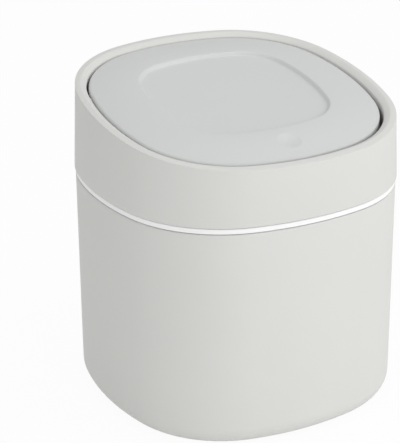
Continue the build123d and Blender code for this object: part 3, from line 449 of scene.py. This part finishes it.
def on_slope(sizes, x, y, height):
    """Return a direction given along the lid's plane and square to it."""
    return Matrix.Rotation(sizes.seat_slope, 3, "X") @ Vector((x, y, height))


def seat_point(sizes, x, y, height):
    """Return a point given along the lid's plane and above it."""
    return Vector((0, 0, sizes.seat_height)) + on_slope(sizes, x, y, height)


def seated(sizes, half, height):
    """Return the rule of a loop parallel to the lid's edge, at a height above it."""
    return lambda turn: seat_point(sizes, *outline(sizes, turn, half), height)


def drafted(sizes, foot_half, height):
    """Return the rule of a loop where the collar's leaning wall meets the seat at a height."""
    lean = tan(sizes.collar_draft)
    foot = sizes.bucket_top + sizes.ring_height
    rise, run = cos(sizes.seat_slope), sin(sizes.seat_slope)

    def place(turn):
        low = outline(sizes, turn, foot_half)
        ahead = low.y + foot * lean * sin(turn)
        top = (height + run * ahead + sizes.seat_height * rise) / (rise + run * lean * sin(turn))
        return Vector((*outline(sizes, turn, foot_half - (top - foot) * lean), top))

    return place


def scaled(rule, share):
    """Return the rule of a loop drawn in to its own middle."""

    def place(turn):
        middle = (rule(turn) + rule(turn + pi)) / 2
        return middle + (rule(turn) - middle) * share

    return place


def rolled(sizes, crest, foot, share):
    """Return the rule of a loop on a convex flank, at a share of the way from crest to foot."""
    up = on_slope(sizes, 0, 0, 1)
    power = 2 / sizes.rim_fullness

    def place(turn):
        start, end = crest(turn), foot(turn)
        fall = up * (end - start).dot(up)
        across = end - start - fall
        ahead = sin(QUARTER * share) ** power
        return start + across * ahead + fall * (1 - max(cos(QUARTER * share), 0) ** power)

    return place


def set_back(sizes, rule):
    """Return the rule of a loop moved back along the seat by the play that the closed lid has."""
    play = on_slope(sizes, 0, sizes.lid_set_back, 0)
    return lambda turn: rule(turn) + play


def crown_height(sizes, share):
    """Return the lid's rise at a share of the way from its edge to the dish."""
    return sizes.crown_height * (1 - (1 - share) ** sizes.crown_fullness)


def pick(piece):
    """Select only one piece and make it active."""
    bpy.ops.object.select_all(action="DESELECT")
    piece.select_set(True)
    bpy.context.view_layer.objects.active = piece


def face_outward():
    """Turn the faces of the piece in edit mode outwards, and leave edit mode."""
    bpy.ops.mesh.select_all(action="SELECT")
    bpy.ops.mesh.normals_make_consistent(inside=False)
    bpy.ops.object.mode_set(mode="OBJECT")


def place_loop(piece, count, rule):
    """Number the selected vertices as one loop and put them where its rule says."""
    mesh = bmesh.from_edit_mesh(piece.data)
    way = mesh.verts.layers.float["way"]
    number = mesh.verts.layers.int["number"]
    for vertex in mesh.verts:
        if vertex.select:
            vertex[number] = count
            vertex.co = rule(vertex[way])
    bmesh.update_edit_mesh(piece.data)


def loft(name, sizes, rules, rounds, poles=False):
    """Return a shell drawn loop after loop, with its ends joined or closed and its edges rounded."""
    bpy.ops.object.select_all(action="DESELECT")
    bpy.ops.mesh.primitive_circle_add(vertices=LOOP, radius=sizes.half_width)
    piece = bpy.context.object
    piece.name = piece.data.name = name
    bpy.ops.object.mode_set(mode="EDIT")
    bpy.ops.mesh.select_mode(type="VERT")
    bpy.ops.mesh.select_all(action="SELECT")
    mesh = bmesh.from_edit_mesh(piece.data)
    mesh.verts.layers.int.new("number")
    way = mesh.verts.layers.float.new("way")
    for vertex, turn in zip(mesh.verts, turns(sizes)):
        vertex[way] = turn
    bmesh.update_edit_mesh(piece.data)
    place_loop(piece, 0, rules[0])
    for count, rule in enumerate(rules[1:], 1):
        bpy.ops.mesh.extrude_region_move()
        place_loop(piece, count, rule)
    close_ends(piece, poles)
    for count, (width, segments) in rounds.items():
        round_edge(piece, count, width, segments)
    face_outward()
    return piece


def close_ends(piece, poles):
    """Draw both end loops to a point each, or bridge them into one closed section."""
    bpy.ops.mesh.select_all(action="DESELECT")
    bpy.ops.mesh.select_non_manifold()
    if not poles:
        bpy.ops.mesh.bridge_edge_loops()
        return
    mesh = bmesh.from_edit_mesh(piece.data)
    number = mesh.verts.layers.int["number"]
    last = max(vertex[number] for vertex in mesh.verts)
    for end in (0, last):
        select_loop(piece, end)
        bpy.ops.mesh.merge(type="CENTER")


def select_loop(piece, count):
    """Select only the loop with a number."""
    bpy.ops.mesh.select_all(action="DESELECT")
    mesh = bmesh.from_edit_mesh(piece.data)
    number = mesh.verts.layers.int["number"]
    for vertex in mesh.verts:
        vertex.select = vertex[number] == count
    mesh.select_flush(True)
    bmesh.update_edit_mesh(piece.data)


def round_edge(piece, count, width, segments):
    """Round the edges of one loop, with a width taken off on both sides."""
    select_loop(piece, count)
    bpy.ops.mesh.bevel(offset=width, segments=segments, profile=0.5, clamp_overlap=False)


def bar(radius, place, step):
    """Return a closed bar: a disc whose vertices a rule puts in place, drawn out by one step."""
    bpy.ops.object.select_all(action="DESELECT")
    bpy.ops.mesh.primitive_circle_add(vertices=BAR_SIDES, radius=radius, fill_type="NGON")
    piece = bpy.context.object
    bpy.ops.object.mode_set(mode="EDIT")
    bpy.ops.mesh.select_all(action="SELECT")
    mesh = bmesh.from_edit_mesh(piece.data)
    for vertex in mesh.verts:
        vertex.co = place(vertex.co)
    bmesh.update_edit_mesh(piece.data)
    bpy.ops.mesh.extrude_region_move(TRANSFORM_OT_translate={"value": step})
    face_outward()
    return piece


def screw_post(sizes, x, y):
    """Return a round post that stands square to the lid's plane and ends in the collar's lip."""
    start = seat_point(sizes, x, y, -sizes.post_foot)
    step = seat_point(sizes, x, y, POST_OVERLAP - sizes.lip_depth) - start
    turn = step.to_track_quat("Z", "Y")
    return bar(sizes.post_radius, lambda spot: start + turn @ spot, step)


def notch_tool(sizes, way):
    """Return the arched block that cuts a hinge notch in the lid's skirt, on one side."""
    inner = way * sizes.notch_inner_end

    def place(spot):
        height = spot.y if spot.y >= 0 else -sizes.lid_depth
        return seat_point(sizes, inner, sizes.hinge_y + spot.x, height - sizes.hinge_drop)

    reach = way * (sizes.half_width - sizes.notch_inner_end)
    return bar(sizes.notch_radius, place, Vector((reach, 0, 0)))


def press_mark(piece, sizes, edge):
    """Press the push mark into the lid's front border, where the faces are made finer first."""
    along = sizes.mark_step_in - edge
    rise = crown_height(sizes, sizes.mark_step_in / sizes.dish_step_in)
    middle = seat_point(sizes, 0, along, rise)
    up = on_slope(sizes, 0, 0, 1)
    bpy.ops.object.mode_set(mode="EDIT")
    bpy.ops.mesh.select_all(action="DESELECT")
    mesh = bmesh.from_edit_mesh(piece.data)
    for face in mesh.faces:
        near = (face.calc_center_median() - middle).length < MARK_FINE_SHARE * sizes.mark_radius
        face.select_set(near and face.normal.dot(up) > FACING_UP)
    bmesh.update_edit_mesh(piece.data)
    bpy.ops.mesh.subdivide(number_cuts=MARK_CUTS)
    mesh = bmesh.from_edit_mesh(piece.data)
    for vertex in mesh.verts:
        off = vertex.co - middle
        share = (off - up * off.dot(up)).length / sizes.mark_radius
        if vertex.select and share < 1:
            vertex.co -= up * sizes.mark_depth * (1 - share**2) ** MARK_SOFTNESS
    bmesh.update_edit_mesh(piece.data)
    bpy.ops.object.mode_set(mode="OBJECT")


def combine(piece, tool, operation):
    """Join a tool to a piece or cut it away, and delete the tool."""
    pick(piece)
    change = piece.modifiers.new("combine", "BOOLEAN")
    change.operation = operation
    change.object = tool
    change.solver = "EXACT"
    bpy.ops.object.modifier_apply(modifier=change.name)
    bpy.data.objects.remove(tool, do_unlink=True)


def stand_for(piece, material, node, body):
    """Shade a modelled piece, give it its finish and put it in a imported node's place."""
    pick(piece)
    bpy.ops.object.shade_smooth_by_angle(angle=radians(SMOOTH_UNDER))
    piece.data.materials.clear()
    piece.data.materials.append(bpy.data.materials[material])
    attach(piece, body)
    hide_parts(node)


# ---------------------------------------------------------------- pieces


class BIN_OT_bucket_shell(bpy.types.Operator):
    """Model the bucket: drafted walls, a large base round and a hollow under the base"""

    bl_idname = "push_bin.bucket_shell"
    bl_label = "Bucket"

    def execute(self, context):
        sizes = context.scene.push_bin_sizes
        top = sizes.half_width - sizes.bucket_step_in
        lean = tan(sizes.bucket_draft)
        base = sizes.foot_shows
        floor = base + sizes.bucket_floor
        foot = top - (sizes.bucket_top - base) * lean - sizes.bucket_base_round
        inner_round = sizes.bucket_base_round - sizes.bucket_wall
        recess = base + sizes.base_recess_depth
        small = level(sizes, sizes.base_recess_half, recess)
        rules = [scaled(small, POLE_SHARE), scaled(small, HALFWAY), small]
        rules += [level(sizes, sizes.base_recess_half, base), level(sizes, foot, base)]
        for step in range(1, BASE_STEPS + 1):
            rise = QUARTER * step / BASE_STEPS
            out = foot + sizes.bucket_base_round * sin(rise)
            rules.append(level(sizes, out, base + sizes.bucket_base_round * (1 - cos(rise))))
        wall_foot = base + sizes.bucket_base_round
        for step in range(1, WALL_STEPS + 1):
            height = wall_foot + (sizes.bucket_top - wall_foot) * step / WALL_STEPS
            rules.append(level(sizes, top - (sizes.bucket_top - height) * lean, height))
        outer_lip = len(rules) - 1
        rules.append(level(sizes, top - sizes.bucket_wall, sizes.bucket_top))
        for step in range(BASE_STEPS + 1):
            rise = QUARTER * (1 - step / BASE_STEPS)
            out = foot + inner_round * sin(rise)
            rules.append(level(sizes, out, floor + inner_round * (1 - cos(rise))))
        middle = level(sizes, sizes.base_recess_half, floor)
        rules += [middle, scaled(middle, HALFWAY), scaled(middle, POLE_SHARE)]
        rounds = {
            outer_lip: (sizes.bucket_lip_round, 4),
            outer_lip + 1: (sizes.bucket_lip_round / 2, 3),
        }
        piece = loft("bucket_shell", sizes, rules, rounds, poles=True)
        stand_for(piece, "moulded_polypropylene_shell", "outer_bucket", "bucket")
        return {"FINISHED"}


class BIN_OT_ring_band(bpy.types.Operator):
    """Model the bag ring: a skirt, the white band that shows, and a spigot"""

    bl_idname = "push_bin.ring_band"
    bl_label = "Bag ring"

    def execute(self, context):
        sizes = context.scene.push_bin_sizes
        top = sizes.bucket_top
        bucket = sizes.half_width - sizes.bucket_step_in
        groove = bucket - sizes.ring_groove_depth
        band = bucket - sizes.ring_band_step_in
        margin = (sizes.ring_height - sizes.ring_band_height) / 2
        skirt = bucket - sizes.bucket_wall - sizes.slip
        spigot = sizes.half_width - sizes.collar_wall - sizes.slip
        bore = skirt - sizes.ring_wall
        foot = top - sizes.ring_skirt
        head = top + sizes.ring_height + sizes.ring_spigot
        section = [
            (bore, head),
            (bore, foot),
            (skirt - sizes.ring_skirt * tan(sizes.bucket_draft), foot),
            (skirt, top),
            (groove, top),
            (groove, top + margin),
            (band, top + margin),
            (band, top + margin + sizes.ring_band_height),
            (groove, top + margin + sizes.ring_band_height),
            (groove, top + sizes.ring_height),
            (spigot, top + sizes.ring_height),
            (spigot - sizes.ring_spigot * tan(sizes.collar_draft), head),
        ]
        rules = [level(sizes, half, height) for half, height in section]
        soft = sizes.ring_band_round
        rounds = {0: (soft, 2), 1: (soft, 2), 2: (soft, 2), 6: (soft, 4), 7: (soft, 4), 11: (soft, 2)}
        piece = loft("ring_band", sizes, rules, rounds)
        stand_for(piece, "moulded_polypropylene_ring", "bag_ring", "bag_ring")
        return {"FINISHED"}


class BIN_OT_collar_shell(bpy.types.Operator):
    """Model the collar: a leaning wall, a sloping rim with two soft flanks, a lip and four screw posts"""

    bl_idname = "push_bin.collar_shell"
    bl_label = "Collar"

    def execute(self, context):
        sizes = context.scene.push_bin_sizes
        foot = sizes.bucket_top + sizes.ring_height
        bore = sizes.half_width - sizes.collar_wall
        throat = sizes.half_width - sizes.throat_step_in
        ceiling = sizes.rim_height - sizes.rim_thickness
        outer = drafted(sizes, sizes.half_width, sizes.rim_height - sizes.rim_shoulder)
        crest = seated(sizes, throat + sizes.rim_slope, sizes.rim_height)
        inner = seated(sizes, throat, -sizes.rim_sink)
        rules = [level(sizes, bore, foot), level(sizes, sizes.half_width, foot)]
        rules += [rolled(sizes, crest, outer, 1 - n / FLANK_STEPS) for n in range(FLANK_STEPS)]
        rules += [rolled(sizes, crest, inner, n / FLANK_STEPS) for n in range(FLANK_STEPS + 1)]
        rules += [
            seated(sizes, throat, -sizes.lip_depth),
            seated(sizes, throat + sizes.lip_wall, -sizes.lip_depth),
            seated(sizes, throat + sizes.lip_wall, ceiling),
            drafted(sizes, bore, ceiling),
        ]
        piece = loft("collar_shell", sizes, rules, {1: (sizes.collar_foot_round, 4)})
        corner = outline(sizes, QUARTER / 2, throat + sizes.post_step_out).x
        reach = sizes.side_radius - sizes.throat_step_in + sizes.post_step_out
        flank = arc_centres(sizes)[0] + sqrt(reach**2 - sizes.side_post_y**2)
        for way in (-1, 1):
            for x, y in ((corner, -corner), (flank, sizes.side_post_y)):
                combine(piece, screw_post(sizes, way * x, y), "UNION")
        stand_for(piece, "moulded_polypropylene_shell", "collar", "collar")
        return {"FINISHED"}


class BIN_OT_lid_shell(bpy.types.Operator):
    """Model the lid cover: a crowned shell with a sunk dish, a push mark and hinge notches"""

    bl_idname = "push_bin.lid_shell"
    bl_label = "Lid cover"

    def execute(self, context):
        sizes = context.scene.push_bin_sizes
        edge = sizes.half_width - sizes.throat_step_in - sizes.lid_gap
        bore = edge - sizes.lid_wall
        dish = edge - sizes.dish_step_in
        floor = sizes.crown_height - sizes.dish_depth
        under = seated(sizes, dish + sizes.lid_wall / 2, floor - sizes.lid_wall)
        inner = [scaled(under, POLE_SHARE), scaled(under, HALFWAY), under]
        for step in range(CROWN_STEPS, -1, -1):
            share = step / CROWN_STEPS
            half = bore + share * (dish + sizes.lid_wall / 2 - bore)
            inner.append(seated(sizes, half, crown_height(sizes, share) - sizes.lid_wall))
        inner.append(seated(sizes, bore, -sizes.lid_depth))
        outer = [seated(sizes, edge, -sizes.lid_depth), seated(sizes, edge, -sizes.lid_depth / 2)]
        rim = len(inner + outer)
        for step in range(CROWN_STEPS + 1):
            share = step / CROWN_STEPS
            half = edge + share * (dish - edge)
            outer.append(seated(sizes, half, crown_height(sizes, share)))
        for step in range(1, DISH_STEPS + 1):
            share = step / DISH_STEPS
            height = floor + sizes.dish_depth * (1 + cos(pi * share**DISH_LEAN)) / 2
            outer.append(seated(sizes, dish - sizes.dish_wall_width * share, height))
        low = seated(sizes, dish - 2 * sizes.dish_wall_width, floor)
        outer += [low, scaled(low, HALFWAY), scaled(low, POLE_SHARE)]
        rules = inner + [set_back(sizes, rule) for rule in outer]
        piece = loft("lid_shell", sizes, rules, {rim: (sizes.lid_edge_round, 6)}, poles=True)
        press_mark(piece, sizes, edge)
        for way in (-1, 1):
            combine(piece, notch_tool(sizes, way), "DIFFERENCE")
        stand_for(piece, "moulded_polypropylene_lid", "lid_cover", "lid")
        return {"FINISHED"}


class BIN_OT_latch_coil(bpy.types.Operator):
    """Model the latch spring, a coil of wire"""

    bl_idname = "push_bin.latch_coil"
    bl_label = "Latch spring"

    def execute(self, context):
        sizes = context.scene.push_bin_sizes
        half_wire = sizes.coil_wire / 2
        bpy.ops.object.select_all(action="DESELECT")
        bpy.ops.mesh.primitive_circle_add(
            vertices=WIRE_SIDES,
            radius=half_wire,
            location=(sizes.coil_radius, 0, half_wire),
            rotation=(QUARTER, 0, 0),
        )
        piece = context.object
        piece.name = piece.data.name = "latch_coil"
        bpy.ops.object.transform_apply()
        wind = piece.modifiers.new("wind", "SCREW")
        wind.screw_offset = (sizes.coil_length - sizes.coil_wire) / sizes.coil_turns
        wind.iterations = sizes.coil_turns
        wind.steps = wind.render_steps = TURN_STEPS
        bpy.ops.object.modifier_apply(modifier=wind.name)
        along = sizes.throat_step_in + sizes.latch_step_in - sizes.half_width
        for vertex in piece.data.vertices:
            x, y, height = vertex.co
            vertex.co = seat_point(sizes, x, along + y, height - sizes.coil_foot)
        bpy.ops.object.mode_set(mode="EDIT")
        bpy.ops.mesh.select_all(action="SELECT")
        bpy.ops.mesh.fill_holes(sides=0)
        face_outward()
        stand_for(piece, "drawn_spring_steel", "latch_spring", "collar")
        press = next(joint for joint in frame["joints"] if joint["name"] == "latch_press")
        foot = seat_point(sizes, 0, along, -sizes.coil_foot)
        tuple(press["axis"])
        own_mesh(piece)
        return {"FINISHED"}


# ---------------------------------------------------------------- stage


def area_lamp(name, place, target, size, power):
    """Add a square area lamp that shines at a target."""
    data = bpy.data.lights.new(name, "AREA")
    data.shape, data.size, data.energy = "SQUARE", size, power
    lamp = bpy.data.objects.new(name, data)
    bpy.context.scene.collection.objects.link(lamp)
    lamp.location = place
    lamp.rotation_euler = (target - Vector(place)).to_track_quat("-Z", "Y").to_euler()


def studio_floor_material(base):
    """Matt white paper: white to the camera and to glossy rays, and it keeps a soft shadow."""
    material, tree, surface = new_material("white_paper_floor", base, 0.9)
    path = add_node(tree, "ShaderNodeLightPath")
    seen = add_node(tree, "ShaderNodeMath", {"operation": "MAXIMUM"})
    tree.links.new(path.outputs["Is Camera Ray"], seen.inputs[0])
    tree.links.new(path.outputs["Is Glossy Ray"], seen.inputs[1])
    share = add_node(tree, "ShaderNodeMath", {"operation": "MULTIPLY"})
    share.inputs[1].default_value = FLOOR_GLOW
    tree.links.new(seen.outputs["Value"], share.inputs[0])
    glow = add_node(tree, "ShaderNodeEmission", {"Color": (1, 1, 1, 1), "Strength": 1.0})
    mix = add_node(tree, "ShaderNodeMixShader", {}, Fac=share.outputs["Value"])
    tree.links.new(surface.outputs["BSDF"], mix.inputs[1])
    tree.links.new(glow.outputs["Emission"], mix.inputs[2])
    tree.links.new(mix.outputs["Shader"], tree.nodes["Material Output"].inputs["Surface"])
    return material


class BIN_OT_stage(bpy.types.Operator):
    """Add the floor, the lamps, the sky light and the camera"""

    bl_idname = "push_bin.stage"
    bl_label = "Stage"

    def execute(self, context):
        chosen = context.scene.push_bin_stage
        scene = context.scene
        scene.view_settings.view_transform = "Standard"

        bpy.ops.object.select_all(action="DESELECT")
        bpy.ops.mesh.primitive_plane_add(size=FLOOR_SIZE)
        floor = context.object
        floor.name = "studio_floor"
        floor.data.materials.append(studio_floor_material(chosen.floor))

        world = bpy.data.worlds.new("studio_sky")
        scene.world = world
        world.use_nodes = True
        tree = world.node_tree
        sky = tree.nodes["Background"]
        sky.inputs["Color"].default_value = (1, 1, 1, 1)
        sky.inputs["Strength"].default_value = chosen.world_strength
        white = add_node(tree, "ShaderNodeBackground", {"Color": (1, 1, 1, 1), "Strength": 1.0})
        path = add_node(tree, "ShaderNodeLightPath")
        mix = add_node(tree, "ShaderNodeMixShader", {}, Fac=path.outputs["Is Camera Ray"])
        tree.links.new(sky.outputs["Background"], mix.inputs[1])
        tree.links.new(white.outputs["Background"], mix.inputs[2])
        tree.links.new(mix.outputs["Shader"], tree.nodes["World Output"].inputs["Surface"])

        target = Vector((0, 0, chosen.target_height))
        for name, place, size, power in LAMPS:
            area_lamp(name, place, target, size, getattr(chosen, power))

        turn, rise = chosen.azimuth, chosen.elevation
        back = Vector((sin(turn) * cos(rise), -cos(turn) * cos(rise), sin(rise)))
        data = bpy.data.cameras.new("photo_camera")
        camera = bpy.data.objects.new("photo_camera", data)
        scene.collection.objects.link(camera)
        camera.location = target + back * chosen.distance
        camera.rotation_euler = (-back).to_track_quat("-Z", "Y").to_euler()
        data.sensor_fit = "AUTO"
        data.lens = chosen.focal_pixels / IMAGE_HEIGHT * data.sensor_width
        data.shift_x = (IMAGE_WIDTH / 2 - chosen.target_column) / IMAGE_HEIGHT
        data.shift_y = (chosen.target_row - IMAGE_HEIGHT / 2) / IMAGE_HEIGHT
        data.clip_start, data.clip_end = NEAREST, FURTHEST
        scene.camera = camera
        return {"FINISHED"}


# ---------------------------------------------------------------- panel and registration


STEPS = (
    BIN_OT_finishes,
    BIN_OT_bucket_shell,
    BIN_OT_ring_band,
    BIN_OT_collar_shell,
    BIN_OT_lid_shell,
    BIN_OT_latch_coil,
    BIN_OT_stage,
)


class BIN_PT_sidebar(bpy.types.Panel):
    """The bin's steps, sizes and colours"""

    bl_idname = "BIN_PT_sidebar"
    bl_label = "Push Top Bin"
    bl_space_type = "VIEW_3D"
    bl_region_type = "UI"
    bl_category = "Push Bin"

    def draw(self, context):
        for step in STEPS:
            self.layout.operator(step.bl_idname)
        scene = context.scene
        for group in (scene.push_bin_sizes, scene.push_bin_finishes, scene.push_bin_stage):
            box = self.layout.box()
            for name in group.bl_rna.properties.keys():
                if name not in ("rna_type", "name"):
                    box.prop(group, name)


CLASSES = (BinSizes, BinFinishes, BinStage, *STEPS, BIN_PT_sidebar)


def register():
    """Register the classes and hang their settings on the scene."""
    for item in CLASSES:
        bpy.utils.register_class(item)
    bpy.types.Scene.push_bin_sizes = PointerProperty(type=BinSizes)
    bpy.types.Scene.push_bin_finishes = PointerProperty(type=BinFinishes)
    bpy.types.Scene.push_bin_stage = PointerProperty(type=BinStage)


def unregister():
    """Take the settings off the scene and unregister the classes."""
    del bpy.types.Scene.push_bin_stage
    del bpy.types.Scene.push_bin_finishes
    del bpy.types.Scene.push_bin_sizes
    for item in reversed(CLASSES):
        bpy.utils.unregister_class(item)


def main():
    """Register the add-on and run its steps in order."""
    register()
    bpy.ops.push_bin.finishes()
    bpy.ops.push_bin.bucket_shell()
    bpy.ops.push_bin.ring_band()
    bpy.ops.push_bin.collar_shell()
    bpy.ops.push_bin.lid_shell()
    bpy.ops.push_bin.latch_coil()
    bpy.ops.push_bin.stage()


if __name__ == "__main__":
    main()
